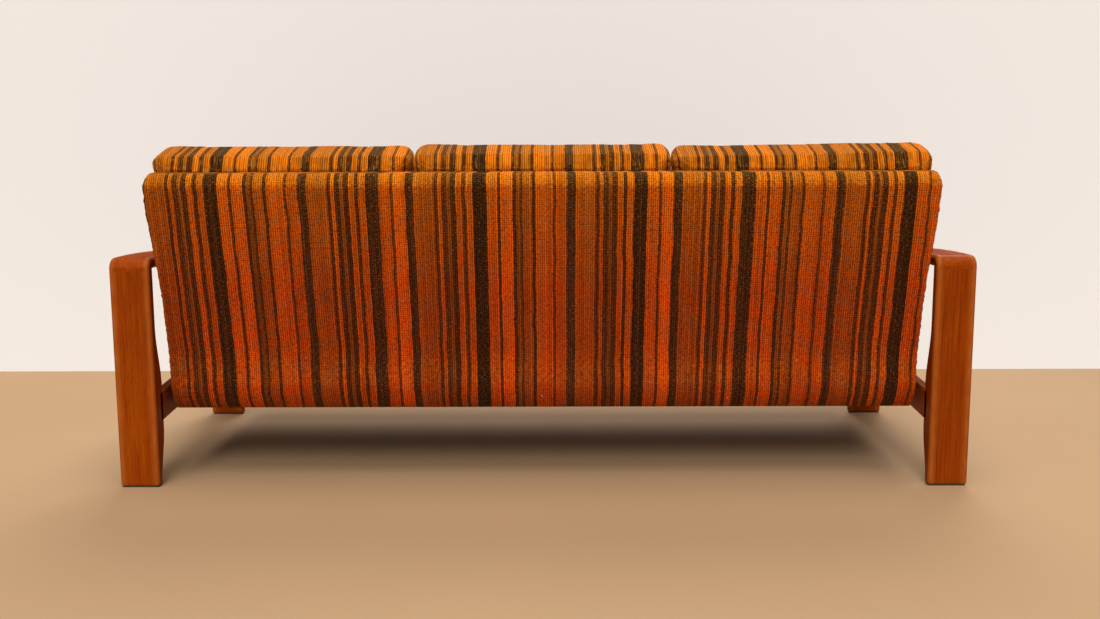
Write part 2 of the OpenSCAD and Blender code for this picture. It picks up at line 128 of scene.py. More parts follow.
wall = quad("wall", [(-room_half, wall_y, 0), (-room_half, wall_y, wall_top),
                     (room_half, wall_y, wall_top), (room_half, wall_y, 0)])
wall_paint, tree, shader = new_material("off_white_wall", {"Base Color": (0.84, 0.885, 0.95, 1),
                                                           "Roughness": 0.8})
seen = node(tree, "LightPath").outputs["Is Camera Ray"]
behind = node(tree, "NewGeometry").outputs["Backfacing"]
shown = maths(tree, "SUBTRACT", seen, behind, clamp=True)
both = node(tree, "MixShader", {0: shown, 1: node(tree, "BsdfTransparent").outputs[0],
                                2: shader.outputs[0]})
tree.links.new(both.outputs[0], tree.nodes["Material Output"].inputs["Surface"])
wall.data.materials.append(wall_paint)

world = bpy.data.worlds.new("room_light")
world.use_nodes = True
sky = world.node_tree.nodes["Background"]
sky.inputs["Color"].default_value = (0.95, 0.93, 0.90, 1)
sky_on_things, sky_to_the_eye = 0.09, 0.86
seen = node(world.node_tree, "LightPath").outputs["Is Camera Ray"]
level = remap(world.node_tree, seen, 0.0, 1.0, sky_on_things, sky_to_the_eye)
world.node_tree.links.new(level, sky.inputs["Strength"])
bpy.context.scene.world = world


def soft_lamp(name, towards, power, spread, colour):
    """A wide soft light that comes from one direction, as from a large window or a pale ceiling."""
    lamp = placed(name, bpy.data.lights.new(name, "SUN"))
    lamp.data.energy, lamp.data.angle, lamp.data.color = power, math.radians(spread), colour
    lamp.rotation_euler = Vector(towards).to_track_quat("Z", "Y").to_euler()


soft_lamp("window", (0.08, 0.82, 0.58), 2.05, 32, (1.0, 0.96, 0.90))
soft_lamp("ceiling", (0.0, 0.22, 0.97), 2.35, 50, (1.0, 0.94, 0.82))
soft_lamp("front_fill", (-0.12, -0.66, 0.75), 1.9, 36, (1.0, 0.96, 0.92))

# ---------------- side frames
# Two loops of solid teak, each of two wide flat legs and a bent armrest. The legs swell to a
# haunch where the rail is let in, and every edge is eased by hand and oiled.
SHIFT_Y = 367.08
FRAME_D, FRAME_IN, FRAME_OUT = 770.0, 903.0, 995.0
GLIDE_T, FOOT_T, HAUNCH_T, LEG_T = 4.0, 27.0, 55.0, 28.0
ARCH_Z, ARCH_OUT, ARCH_IN = -3858.0, 4400.0, 4373.0
TURN_R, HOLLOW_R, LEG_EDGE, ARM_EDGE, FOOT_EDGE = 26.0, 3.0, 6.0, 9.0, 2.5
DECK_Y, DECK_Z, SLOPE = -124.0, 240.0, math.radians(3.5)
RAIL_DROP, RAIL_H, RAIL_T, RAIL_IN, HAUNCH_MARGIN = 14.0, 71.0, 20.0, 18.0, 8.0


def arch(radius, y):
    """Height on the long arch: its middle's, plus the root of radius squared less y squared."""
    return ARCH_Z + np.sqrt(radius * radius - y * y)


def rail_line(y, drop):
    """Height of a line below the seat plane, which rises forwards by the tangent of its slope."""
    return DECK_Z + (DECK_Y - y) * math.tan(SLOPE) - RAIL_DROP - drop / math.cos(SLOPE)


def ease(f):
    """Half a cosine wave, from 0 to 1."""
    return (1 - np.cos(np.pi * np.clip(f, 0, 1))) / 2


def ring(flat_a, flat_b, arc, side):
    """The round-cornered section as four factors for each point: of the half width and the corner
    radius across, and of the half thickness and the radius through. Side a comes before side b."""
    def half(flat):
        f = (np.arange(side) + 0.5) / side if side else np.zeros(0)
        a = np.linspace(0, np.pi / 2, arc + 1)
        g = np.linspace(1, -1, flat + 1)[1:-1]
        across = np.concatenate([f * 0 + 1, a * 0 + 1, g, a * 0 - 1, f * 0 - 1])
        round_across = np.concatenate([f * 0, np.cos(a) - 1, -g, 1 - np.cos(a[::-1]), f * 0])
        through = np.concatenate([f, a * 0 + 1, g * 0 + 1, a * 0 + 1, f[::-1]])
        round_through = np.concatenate([-f, np.sin(a) - 1, g * 0, np.sin(a[::-1]) - 1, -f[::-1]])
        return np.stack([across, round_across, through, round_through])
    first, second = half(flat_a), half(flat_b)[:, ::-1].copy()
    second[2:] *= -1
    return np.concatenate([first, second], axis=1)


def loft(path_a, path_b, x_low, x_high, radius, section):
    """Sections set between two lines: each point is the middle of the two lines, plus its factor of
    the half thickness towards line a, at its factor of the half width across."""
    a, b = np.asarray(path_a, float), np.asarray(path_b, float)
    rows = len(a)
    low, high, r = (np.broadcast_to(np.asarray(v, float), rows)[:, None]
                    for v in (x_low, x_high, radius))
    thick = np.linalg.norm(a - b, axis=1)[:, None]
    unit = (a - b) / np.maximum(thick, 1e-9)
    r = np.minimum(r, thick / 2)
    across = (high + low) / 2 + section[0] * (high - low) / 2 + section[1] * r
    through = section[2] * thick / 2 + section[3] * r
    yz = ((a + b) / 2)[:, None] + through[:, :, None] * unit[:, None]
    return np.concatenate([across[:, :, None], yz], axis=2)


def wrap_faces(rows, cols):
    """Quads of a grid whose columns close into a ring."""
    i, j = np.meshgrid(np.arange(rows - 1), np.arange(cols), indexing="ij")
    k = (j + 1) % cols
    return np.stack([i * cols + j, i * cols + k, (i + 1) * cols + k, (i + 1) * cols + j],
                    axis=-1).reshape(-1, 4)


def end_faces(row, cols, flat_a, flat_b, corner_points):
    """Faces that close the ring at one row, straight across from side a to side b. Where side a
    has more points along its flat, each face takes several of them."""
    each = flat_a // flat_b
    faces = []
    for i in range(corner_points):
        far = cols - 1 - i
        faces.append([i, i + 1, far - 1, far])
        near, far = corner_points + flat_a + i, cols - 1 - corner_points - flat_b - i
        faces.append([near, near + 1, far - 1, far])
    for i in range(flat_b):
        near, far = corner_points + i * each, cols - 1 - corner_points - i
        faces.append(list(range(near, near + each + 1)) + [far - 1, far])
    return [[row * cols + k for k in (face if row else face[::-1])] for face in faces]


def skin(points, flat_a, flat_b, corner_points):
    """The faces all round a loft and over both its ends, as quads and a list of end faces."""
    rows, cols = points.shape[:2]
    return (wrap_faces(rows, cols), end_faces(0, cols, flat_a, flat_b, corner_points)
            + end_faces(rows - 1, cols, flat_a, flat_b, corner_points))


def signed_volume(points, faces):
    """A sixth of the sum over each face's triangles of the triple product of their corners."""
    total = 0.0
    for face in faces:
        face = np.asarray(face)
        first = points[face[..., 0]]
        for n in range(1, face.shape[-1] - 1):
            total += np.sum(first * np.cross(points[face[..., n]], points[face[..., n + 1]])) / 6
    return total


def mark(mesh, values):
    """Puts each named list of numbers on the mesh's points."""
    for key, value in values.items():
        mesh.attributes.new(key, "FLOAT", "POINT").data.foreach_set(
            "value", np.ravel(value).astype(np.float32))


def build(name, points, quads, others=(), values=None):
    """Puts points in millimetres and faces into a mesh whose faces look outwards. Each named value
    becomes a number on every point. The mesh is in metres, in the sofa's own place."""
    points = np.asarray(points, float).reshape(-1, 3)
    groups = [np.asarray(quads)] + [np.asarray([f]) for f in others]
    inside_out = signed_volume(points, groups) < 0
    loops = np.concatenate([(g[:, ::-1] if inside_out else g).ravel() for g in groups])
    sizes = np.concatenate([np.full(len(g), g.shape[1]) for g in groups])
    mesh = bpy.data.meshes.new(name)
    mesh.vertices.add(len(points))
    mesh.vertices.foreach_set("co", ((points + (0, SHIFT_Y, 0)) / 1000).astype(np.float32).ravel())
    mesh.loops.add(len(loops))
    mesh.loops.foreach_set("vertex_index", loops.astype(np.int32))
    mesh.polygons.add(len(sizes))
    mesh.polygons.foreach_set("loop_start", np.concatenate([[0], np.cumsum(sizes)[:-1]])
                              .astype(np.int32))
    mesh.update(calc_edges=True)
    mesh.validate()
    mesh.polygons.foreach_set("use_smooth", np.ones(len(mesh.polygons), bool))
    mesh.set_sharp_from_angle(angle=math.radians(50))
    mark(mesh, values or {})
    return placed(name, mesh)


def finish_piece(made, body, slot_name, material, *replaced):
    """Gives a piece its material and body, and hides the CAD nodes that it stands in for."""
    made.data.materials.append(material)
    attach(made, body)
    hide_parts(*replaced)


def board(name, side, path_a, path_b, x_low, x_high, radius, flat=6):
    """A solid board between two lines, with its eased edges marked, where the finish is paler and
    glossier.
    """
    arc, side_faces = 6, 3
    section = ring(flat, flat, arc, side_faces)
    points = loft(path_a, path_b, x_low, x_high, radius, section)
    edge = np.clip(-(section[1] * np.sign(section[0]) + section[3] * np.sign(section[2])), 0, 1)
    edge = np.where(np.abs(section[0]) + np.abs(section[2]) > 1.99, edge, 0)
    points[:, :, 0] *= side
    return build(name, points, *skin(points, flat, flat, arc + side_faces),
                 {"edge": np.tile(edge, len(points))})


def corner(before, point, after, radius, steps):
    """A round corner: an arc that touches the line in and the line out at equal distances."""
    before, point, after = (np.asarray(v, float) for v in (before, point, after))
    way_in, way_out = point - before, after - point
    way_in, way_out = way_in / np.linalg.norm(way_in), way_out / np.linalg.norm(way_out)
    turn = math.acos(np.clip(way_in @ way_out, -1, 1))
    start = point - way_in * radius * math.tan(turn / 2)
    normal = way_out - way_in * (way_in @ way_out)
    normal /= np.linalg.norm(normal)
    t = np.linspace(0, turn, steps + 1)[:, None]
    return start + radius * (normal * (1 - np.cos(t)) + way_in * np.sin(t))


def leg_thickness(z, under, over, top):
    """Foot thickness easing up to the haunch, the haunch itself, then easing to the top."""
    rise = min(150.0, top - over - HAUNCH_MARGIN)
    low = FOOT_T + (HAUNCH_T - FOOT_T) * ease((z - GLIDE_T) / (under - GLIDE_T))
    high = HAUNCH_T + (LEG_T - HAUNCH_T) * ease((z - over) / rise)
    return np.where(z <= under, low, np.where(z <= over, HAUNCH_T, high))


def leg(name, side, face_y, inward, top):
    """A leg from its eased foot to the joint under the arm. Its outer line is upright, and its
    inner line stands off by the leg's thickness at each height."""
    hole_rear = max(face_y, face_y + inward * HAUNCH_T)
    hole_front = min(face_y, face_y + inward * HAUNCH_T)
    under = rail_line(hole_rear, RAIL_H) - HAUNCH_MARGIN
    over = rail_line(hole_front, 0) + HAUNCH_MARGIN
    foot = np.linspace(0, np.pi / 2, 5)
    z = np.concatenate([GLIDE_T + FOOT_EDGE * (1 - np.cos(foot)),
                        np.linspace(GLIDE_T + FOOT_EDGE, top, 90)[1:]])
    inset = np.concatenate([FOOT_EDGE * (1 - np.sin(foot)), np.zeros(89)])
    thick = leg_thickness(z, under, over, top)
    outer = np.stack([face_y + inward * inset, z], axis=1)
    inner = np.stack([face_y + inward * (thick - inset), z], axis=1)
    return board(name, side, outer, inner, FRAME_IN + inset, FRAME_OUT - inset, LEG_EDGE)


def armrest_lines(radius, y_rear, y_front, turn_r, low_rear, low_front):
    """One edge of the armrest: up the rear leg, round, along the arch, round and down."""
    rear, front = (y_rear, arch(radius, y_rear)), (y_front, arch(radius, y_front))
    slope = [(y_rear - 40, arch(radius, y_rear - 40)), (y_front + 40, arch(radius, y_front + 40))]
    first = corner((y_rear, low_rear), rear, slope[0], turn_r, 14)
    last = corner(slope[1], front, (y_front, low_front), turn_r, 14)
    y = np.linspace(first[-1, 0], last[0, 0], 62)[1:-1]
    return np.concatenate([[(y_rear, low_rear)], first, np.stack([y, arch(radius, y)], axis=1),
                           last, [(y_front, low_front)]])


JOINT_REAR = arch(ARCH_IN, -LEG_T) - HOLLOW_R - 1
JOINT_FRONT = arch(ARCH_IN, LEG_T - FRAME_D) - HOLLOW_R - 1
arm_radius = np.concatenate([[LEG_EDGE], np.linspace(LEG_EDGE, ARM_EDGE, 15), np.full(60, ARM_EDGE),
                             np.linspace(ARM_EDGE, LEG_EDGE, 15), [LEG_EDGE]])


def new_group(name, inputs):
    """A node group with the inputs given as pairs of name and kind, and the outputs Colour, Gloss
    and Height; gives the group and its two ends."""
    group = bpy.data.node_groups.new(name, "ShaderNodeTree")
    for key, kind in inputs:
        group.interface.new_socket(key, in_out="INPUT", socket_type="NodeSocket" + kind)
    for key, kind in (("Colour", "Color"), ("Gloss", "Float"), ("Height", "Float")):
        group.interface.new_socket(key, in_out="OUTPUT", socket_type="NodeSocket" + kind)
    return group, group.nodes.new("NodeGroupInput"), group.nodes.new("NodeGroupOutput")


def give(group, end, *sockets):
    """Joins sockets to the group's outputs, in their order."""
    for socket, output in zip(sockets, end.inputs):
        group.links.new(socket, output)


def surface(tree, shader, colour, gloss, height, strength, depth):
    """Joins a colour, a roughness and a bump of some strength and depth to the shader."""
    bump = node(tree, "Bump", {"Height": height, "Strength": strength, "Distance": depth})
    for key, socket in (("Base Color", colour), ("Roughness", gloss), ("Normal", bump.outputs[0])):
        tree.links.new(socket, shader.inputs[key])


def grain_group():
    """Teak grain: long fine streaks, broad figure and short dark pores, from a place whose Z runs
    along the grain, and paler, glossier eased edges."""
    group, start, end = new_group("teak_grain", (("Place", "Vector"), ("Edge", "Float")))

    def streaks(scale, size, detail, rough=0.5, bend=0.0):
        run = node(group, "Mapping", {"Vector": start.outputs["Place"], "Scale": scale})
        return node(group, "TexNoise", {"Vector": run.outputs[0], "Scale": size, "Detail": detail,
                                        "Roughness": rough, "Distortion": bend}).outputs["Fac"]

    figure = streaks((1, 1, 0.07), 34.0, 3.0, 0.55, 0.6)
    bands = maths(group, "SINE", maths(group, "MULTIPLY", figure, 11.0))
    fine = streaks((1, 1, 0.016), 420.0, 3.0, 0.6)
    pores = remap(group, streaks((1, 1, 0.03), 1500.0, 1.0), 0.60, 0.70, 0.0, 0.6)
    wide = streaks((1, 1, 0.3), 6.0, 2.0)
    total = maths(group, "MULTIPLY_ADD", bands, 0.08, fine)
    ramp = node(group, "ValToRGB", {0: maths(group, "MULTIPLY_ADD", wide, 0.35, total)})
    stops = ((0.32, (0.150, 0.019, 0.001)), (0.58, (0.245, 0.036, 0.001)),
             (0.78, (0.310, 0.053, 0.001)), (1.00, (0.370, 0.078, 0.003)))
    for n, (at, colour) in enumerate(stops):
        stop = ramp.color_ramp.elements[n] if n < 2 else ramp.color_ramp.elements.new(at)
        stop.position, stop.color = at, (*colour, 1)
    dark = mix_colour(group, pores, ramp.outputs[0], (0.075, 0.018, 0.004, 1))
    # paler, glossier streaks along the eased edges
    edge_paling = maths(group, "MULTIPLY", start.outputs["Edge"], streaks((1, 1, 0.4), 60.0, 3.0))
    edge_paled = mix_colour(group, edge_paling, dark, (0.44, 0.13, 0.022, 1))
    gloss = remap(group, fine, 0.3, 0.7, 0.50, 0.36)
    gloss = maths(group, "MULTIPLY_ADD", edge_paling, -0.12, gloss)
    give(group, end, edge_paled, gloss, maths(group, "MULTIPLY_ADD", pores, -0.6, fine))
    return group


grain = grain_group()


def teak(name, turn, offset):
    """Oiled teak with its grain turned to run along the board."""
    material, tree, shader = new_material(name, {
        "Specular IOR Level": 0.12, "Specular Tint": (1.0, 0.62, 0.32, 1), "IOR": 1.32,
        "Coat Weight": 0.04, "Coat Roughness": 0.25})
    place = node(tree, "TexCoord").outputs["Object"]
    run = node(tree, "Mapping", {"Vector": place, "Rotation": turn, "Location": offset})
    edge = node(tree, "Attribute", attribute_name="edge").outputs["Fac"]
    wood = node(tree, "Group", node_tree=grain)
    tree.links.new(run.outputs[0], wood.inputs["Place"])
    tree.links.new(edge, wood.inputs["Edge"])
    surface(tree, shader, *wood.outputs, 0.25, 0.0004)
    return material


teak_upright = teak("teak_upright", (0, 0, 0), (0, 0, 0))
teak_forward = teak("teak_forward", (math.pi / 2, 0, 0), (0.31, 0.17, 0))

for side, word in ((1, "left"), (-1, "right")):
    finish_piece(leg(word + "_rear_leg_wood", side, 0.0, -1, JOINT_REAR),
                 "frame", "teak", teak_upright, word + "_rear_leg")
    finish_piece(leg(word + "_front_leg_wood", side, -FRAME_D, 1, JOINT_FRONT),
                 "frame", "teak", teak_upright, word + "_front_leg")
    over = armrest_lines(ARCH_OUT, 0.0, -FRAME_D, TURN_R, JOINT_REAR, JOINT_FRONT)
    below = armrest_lines(ARCH_IN, -LEG_T, LEG_T - FRAME_D, HOLLOW_R, JOINT_REAR, JOINT_FRONT)
    finish_piece(board(word + "_armrest_wood", side, over, below, FRAME_IN, FRAME_OUT, arm_radius,
                       10), "frame", "teak", teak_forward, word + "_armrest")
    y = np.linspace(RAIL_IN - HAUNCH_T, HAUNCH_T - RAIL_IN - FRAME_D, 40)
    finish_piece(board(word + "_side_rail_wood", side, np.stack([y, rail_line(y, 0)], axis=1),
                       np.stack([y, rail_line(y, RAIL_H)], axis=1), FRAME_IN, FRAME_IN + RAIL_T,
                       3.0, 3), "frame", "teak", teak_forward, word + "_side_rail")

# ---------------- inside the shell, and fixings
# A beech frame with jute webbing, felt and foam, bolted to the side frames with steel bolts on
# teak spacers. Nailed glides are under the feet. These parts keep their drawn shapes.


def fibres(name, low, high, size, rough, bump, stretch=(1, 1, 1), metal=0.0):
    """A finish mottled between two colours by noise, drawn out along one way, with a fine bump."""
    material, tree, shader = new_material(name, {"Metallic": metal})
    place = node(tree, "TexCoord").outputs["Object"]
    run = node(tree, "Mapping", {"Vector": place, "Scale": stretch})
    noise = node(tree, "TexNoise", {"Vector": run.outputs[0], "Scale": size, "Detail": 4.0,
                                    "Roughness": 0.6}).outputs["Fac"]
    colour = mix_colour(tree, noise, (*low, 1), (*high, 1))
    gloss = remap(tree, noise, 0.0, 1.0, rough - 0.08, rough + 0.08)
    surface(tree, shader, colour, gloss, noise, 0.4, bump)
    return material


def dress(material, *names):
    """Gives CAD nodes a material in place of the plain one."""
    for name in names:
        nodes[name].data.materials.clear()
        nodes[name].data.materials.append(material)


for way, stretch, names in (
        ("across", (0.05, 1, 1), ("seat_front_rail", "seat_rear_rail", "arm_dowels",
                                  "back_top_rail", "back_bottom_rail")),
        ("forward", (1, 0.05, 1), ("seat_left_rail", "seat_right_rail", "seat_cross_rails",
                                   "corner_blocks")),
        ("upright", (1, 1, 0.05), ("back_left_stile", "back_right_stile", "back_mid_stiles"))):
    dress(fibres("beech_" + way, (0.46, 0.27, 0.13), (0.66, 0.44, 0.25), 160, 0.55, 0.0002,
                 stretch), *names)
dress(fibres("jute_webbing", (0.30, 0.20, 0.10), (0.52, 0.38, 0.22), 700, 0.9, 0.0006),
      "seat_webbing", "seat_webbing_long", "back_webbing")
dress(fibres("felt_pad", (0.42, 0.40, 0.36), (0.62, 0.60, 0.55), 240, 0.95, 0.001),
      "seat_deck_pad", "back_padding", "back_top_roll", "back_tuck_pad")
dress(fibres("hardboard", (0.16, 0.09, 0.05), (0.24, 0.14, 0.08), 900, 0.7, 0.0002), "back_board")
dress(fibres("black_dust_cloth", (0.012, 0.012, 0.013), (0.030, 0.029, 0.028), 900, 0.95, 0.0003),
      "dust_cover")
dress(fibres("zinc_steel", (0.42, 0.42, 0.41), (0.60, 0.60, 0.58), 120, 0.38, 0.0001, metal=1.0),
      "side_bolts", "side_washers", "side_nuts", "back_bolts", "back_nuts", "glide_nails")
dress(fibres("dark_glide", (0.020, 0.015, 0.012), (0.045, 0.034, 0.026), 300, 0.5, 0.0002),
      "leg_glides")
dress(teak_forward, "side_spacers")

# ---------------- striped cloth and the back
# The back is a padded panel 64 mm thick under a looped, ribbed wool cloth, pulled over a round
# top and tucked under the seat. The loops lie in ribs 5 mm apart, and the warp is dyed in bands:
# a letter for the yarn and its width in millimetres, in a long and a short run by turns.
WARP_LONG = "W30 A25 d7 O27 D8 B8 D7 R20 D8 o14 A26 d7 A24 M19 R46 d8 o9 D11 B9 D12 o13 D9 o16"
WARP_SHORT = "W30 A25 d7 O27 M19 R46 d8 o9 D11 B9 D12 o13 D9 o16"
YARN = {"W": (0.036, 0.0090, 0.003), "M": (0.055, 0.0130, 0.004), "D": (0.082, 0.0140, 0.003),
        "d": (0.100, 0.0155, 0.003), "B": (0.230, 0.0420, 0.005), "R": (0.370, 0.0500, 0.004),
        "A": (0.530, 0.0560, 0.003), "O": (0.640, 0.0670, 0.003), "o": (0.520, 0.0600, 0.003)}
RIB, LOOP_LONG, PICK, LONG_PLAN, REPEAT = 0.005, 0.007, 0.0052, 0.363, 0.604


def band_ramp(tree, plan, at):
    """A ramp that holds each band's colour over its share of the plan."""
    bands = [(word[0], float(word[1:])) for word in plan.split()]
    whole, start = sum(width for _, width in bands), 0.0
    ramp = node(tree, "ValToRGB", {0: at})
    ramp.color_ramp.interpolation = "CONSTANT"
    for n, (kind, width) in enumerate(bands):
        stop = (ramp.color_ramp.elements[0] if n == 0
                else ramp.color_ramp.elements.new(start / whole))
        stop.color = (*YARN[kind], 1)
        start += width
    ramp.color_ramp.elements.remove(ramp.color_ramp.elements[-1])
    return ramp.outputs[0], whole / 1000


def boucle_group():
    """Looped striped wool. Bands follow the distance across the warp, shaken a little so that their
    edges are uneven. Loops are cells 5 mm across and 7 mm along, with painted shade in their gaps."""
    group, start, end = new_group("striped_boucle", (("Across", "Float"), ("Along", "Float"),
                                                     ("Painted_top_light", "Float")))
    across, along = start.outputs["Across"], start.outputs["Along"]

    def sums(operation, *values):
        return maths(group, operation, *values)

    flat = node(group, "CombineXYZ", {0: across, 1: along}).outputs[0]

    def patches(across_size, along_size, detail=2.0):
        run = node(group, "Mapping", {"Vector": flat, "Scale": (across_size, along_size, 1)})
        return node(group, "TexNoise", {"Vector": run.outputs[0], "Scale": 1.0, "Detail": detail},
                    noise_dimensions="2D").outputs["Fac"]

    slow = sums("SUBTRACT", patches(9, 14), 0.5)
    quick = sums("SUBTRACT", patches(420, 300), 0.5)
    shaken = sums("MULTIPLY_ADD", slow, 0.006, across)
    shaken = sums("MULTIPLY_ADD", quick, 0.0040, shaken)
    place = sums("FLOORED_MODULO", shaken, REPEAT)
    long_at = sums("DIVIDE", place, LONG_PLAN)
    long_bands, long_run = band_ramp(group, WARP_LONG, long_at)
    short_at = sums("DIVIDE", sums("SUBTRACT", place, long_run), REPEAT - long_run)
    short_bands, _ = band_ramp(group, WARP_SHORT, short_at)
    bands = mix_colour(group, sums("GREATER_THAN", place, long_run), long_bands, short_bands)

    yarn = sums("FLOOR", sums("DIVIDE", across, RIB))
    tick = sums("DIVIDE", sums("MULTIPLY_ADD", slow, 0.004, along), PICK)
    own = node(group, "TexWhiteNoise", {"W": yarn}, noise_dimensions="1D").outputs["Value"]
    knot_at = node(group, "CombineXYZ", {0: yarn, 1: sums("FLOOR", tick)}).outputs[0]
    knot = node(group, "TexWhiteNoise", {"Vector": knot_at}, noise_dimensions="2D").outputs["Value"]
    cells = node(group, "Mapping", {"Vector": flat, "Scale": (1 / RIB, 1 / LOOP_LONG, 1)})
    loops = node(group, "TexVoronoi", {"Vector": cells.outputs[0], "Scale": 1.0,
                                       "Randomness": 0.75}, voronoi_dimensions="2D")
    loop = sums("SUBTRACT", 1.0, loops.outputs["Distance"])
    rib = sums("ABSOLUTE", sums("SINE", sums("MULTIPLY", across, math.pi / RIB)))
    weft = sums("ABSOLUTE", sums("SINE", sums("MULTIPLY", tick, math.pi)))
    # soft flecks of light brown yarn, and here and there a whole duller rib
    flecks = remap(group, patches(150, 420, 1.0), 0.52, 0.74, 0.0, 0.80)
    flecked = mix_colour(group, 0.50, bands, (0.34, 0.100, 0.016, 1))
    bands = mix_colour(group, flecks, bands, flecked)
    bands = mix_colour(group, remap(group, own, 0.72, 0.80, 0.0, 0.30), bands,
                       (0.10, 0.018, 0.004, 1))
    # painted light from above: by the group's last input the colour turns yellower, the bright
    # yarns most
    bright = node(group, "SeparateColor", {0: bands}).outputs["Red"]
    top_light_warmth = remap(group, bright, 0.08, 0.42, 0.0, 0.55)
    top_lit = mix_colour(group, 1.0, bands, (1.12, 1.70, 1.0, 1), "MULTIPLY")
    top_lit = mix_colour(group, top_light_warmth, top_lit, (0.70, 0.220, 0.004, 1))
    bands = mix_colour(group, start.outputs["Painted_top_light"], bands, top_lit)
    # painted shade: darker in the valleys between ribs and in the gaps between loops and between
    # picks; times each yarn's own random tone and a broad random mottling
    shade = sums("MULTIPLY", sums("MULTIPLY_ADD", rib, 0.64, 0.46),
                 remap(group, loop, 0.25, 0.85, 0.66, 1.12))
    shade = sums("MULTIPLY", shade, sums("MULTIPLY_ADD", weft, 0.26, 0.82))
    shade = sums("MULTIPLY", shade, sums("MULTIPLY_ADD", own, 0.50, 0.75))
    light = sums("MULTIPLY", shade, sums("MULTIPLY_ADD", patches(60, 8, 3.0), 0.5, 0.78))
    tone = node(group, "CombineXYZ", {0: light, 1: light, 2: light}).outputs[0]
    colour = mix_colour(group, 1.0, bands, tone, "MULTIPLY")
    fuzz = patches(900, 900, 3.0)
    gloss = sums("MULTIPLY_ADD", fuzz, 0.1, 0.86)
    height = sums("MULTIPLY_ADD", rib, 0.60, sums("MULTIPLY_ADD", fuzz, 0.20, loop))
    height = sums("MULTIPLY_ADD", knot, 0.30, sums("MULTIPLY_ADD", weft, 0.30, height))
    give(group, end, colour, gloss, height)
    return group


def boucle(name, top_light_from):
    """The cloth as a finish: its bands read how far each point lies across and along the warp.
    It is painted yellower where it faces up and, less, towards the top of the sofa: painted light
    from above."""
    material, tree, shader = new_material(name, {
        "Sheen Weight": 0.12, "Sheen Roughness": 0.45, "Sheen Tint": (1.0, 0.58, 0.10, 1),
        "Specular IOR Level": 0.08})
    cloth = node(tree, "Group", node_tree=boucle_cloth)
    for key in ("Across", "Along"):
        made = node(tree, "Attribute", attribute_name=key.lower())
        tree.links.new(made.outputs["Fac"], cloth.inputs[key])
    upward = node(tree, "SeparateXYZ", {0: node(tree, "NewGeometry").outputs["Normal"]})
    # painted light from above: cloth that faces up, and cloth high on the sofa, is tinted yellower
    lit_from_above = remap(tree, upward.outputs["Z"], top_light_from, 0.60)
    above = node(tree, "SeparateXYZ", {0: node(tree, "TexCoord").outputs["Object"]})
    high = remap(tree, above.outputs["Z"], 0.46, 0.76, 0.0, 0.55)
    tree.links.new(maths(tree, "ADD", lit_from_above, high, clamp=True), cloth.inputs["Painted_top_light"])
    surface(tree, shader, *cloth.outputs, 0.85, 0.0014)
    return material


boucle_cloth = boucle_group()
wool = boucle("striped_wool", -0.10)
cushion_wool = boucle("striped_wool_loose", -0.55)

LEAN = math.radians(13.5)
BACK_Y, BEND_Z, BACK_T, BACK_H, SHELL_HALF = -60.0, 302.0, 64.0, 737.0, 885.0
TUCK_R, TUCK_Z, BACK_EDGE, BEND_R, TOP_STEPS = 86.0, 170.0, 9.0, 260.0, 16
HALF_T = BACK_T / 2
SLAB = (BACK_H - HALF_T - BEND_Z - HALF_T * math.sin(LEAN)) / math.cos(LEAN)
WARP_START = 0.7595  # metres of warp from a wide dark band's edge to the sofa's middle


def on_slab(q, s):
    """The (y, z) of a point q forward of the back's rear face and s up it from the bend."""
    q, s = np.broadcast_arrays(np.asarray(q, float), np.asarray(s, float))
    return np.stack([BACK_Y - q * math.cos(LEAN) + s * math.sin(LEAN),
                     BEND_Z + q * math.sin(LEAN) + s * math.cos(LEAN)], axis=-1)


def line(first, last, steps):
    """Points from one place to another, without the last."""
    t = np.arange(steps)[:, None] / steps
    return np.asarray(first) * (1 - t) + np.asarray(last) * t


def around(centre, radius, first, last, steps):
    """Points on an arc between two angles, without the last."""
    t = first + (last - first) * np.arange(steps) / steps
    return np.stack([centre[0] + radius * np.cos(t), centre[1] + radius * np.sin(t)], axis=-1)


def back_line(rear):
    """One face of the back in (y, z): from under the seat, up the foot, round the soft bend, up
    the slab and over half of its round top."""
    crown = on_slab(HALF_T, SLAB)
    if rear:
        low = math.asin((DECK_Z - TUCK_Z) / TUCK_R)
        first = around((BACK_Y - TUCK_R, DECK_Z), TUCK_R, -low, 0, 20)
        bend = corner((BACK_Y, DECK_Z), (BACK_Y, BEND_Z), on_slab(0, 99), BEND_R, 16)
        over = around(crown, HALF_T, -LEAN, math.pi / 2 - LEAN - 0.05, TOP_STEPS)
    else:
        front = BACK_Y - BACK_T
        first = line((front, TUCK_Z), (front, DECK_Z), 20)
        kink = (front, BEND_Z + BACK_T * math.tan(LEAN / 2))
        bend = corner((front, DECK_Z), kink, on_slab(BACK_T, 99), BEND_R, 16)
        over = around(crown, HALF_T, math.pi - LEAN, math.pi / 2 - LEAN + 0.05, TOP_STEPS)
    q = 0 if rear else BACK_T
    return np.concatenate([first, line((bend[0, 0], DECK_Z), bend[0], 7), bend,
                           line(bend[-1], on_slab(q, SLAB), 88)[1:], over])


def grid_normals(points):
    """Outward directions of a ring grid, from the cross product of its two ways."""
    ways = np.gradient(points, axis=0), np.roll(points, -1, 1) - np.roll(points, 1, 1)
    normal = np.cross(ways[1], ways[0])
    return normal / np.maximum(np.linalg.norm(normal, axis=-1, keepdims=True), 1e-9)


def soft_waves(rng, points, size, count=7):
    """A smooth random field: the mean of sines whose directions and phases are drawn at random,
    with waves about as long as the size."""
    way = rng.normal(size=(count, points.shape[-1]))
    way *= (2 * np.pi / size) * rng.uniform(0.6, 1.4, (count, 1)) / np.linalg.norm(
        way, axis=1, keepdims=True)
    return np.sin(points @ way.T + rng.uniform(0, 6.28, count)).mean(axis=-1)


def warp_at(points, reach):
    """Metres across the warp: from the start to the point's x, and on round the side by a reach."""
    return WARP_START - points[:, :, 0] / 1000 - np.sign(points[:, :, 0]) * reach / 1000


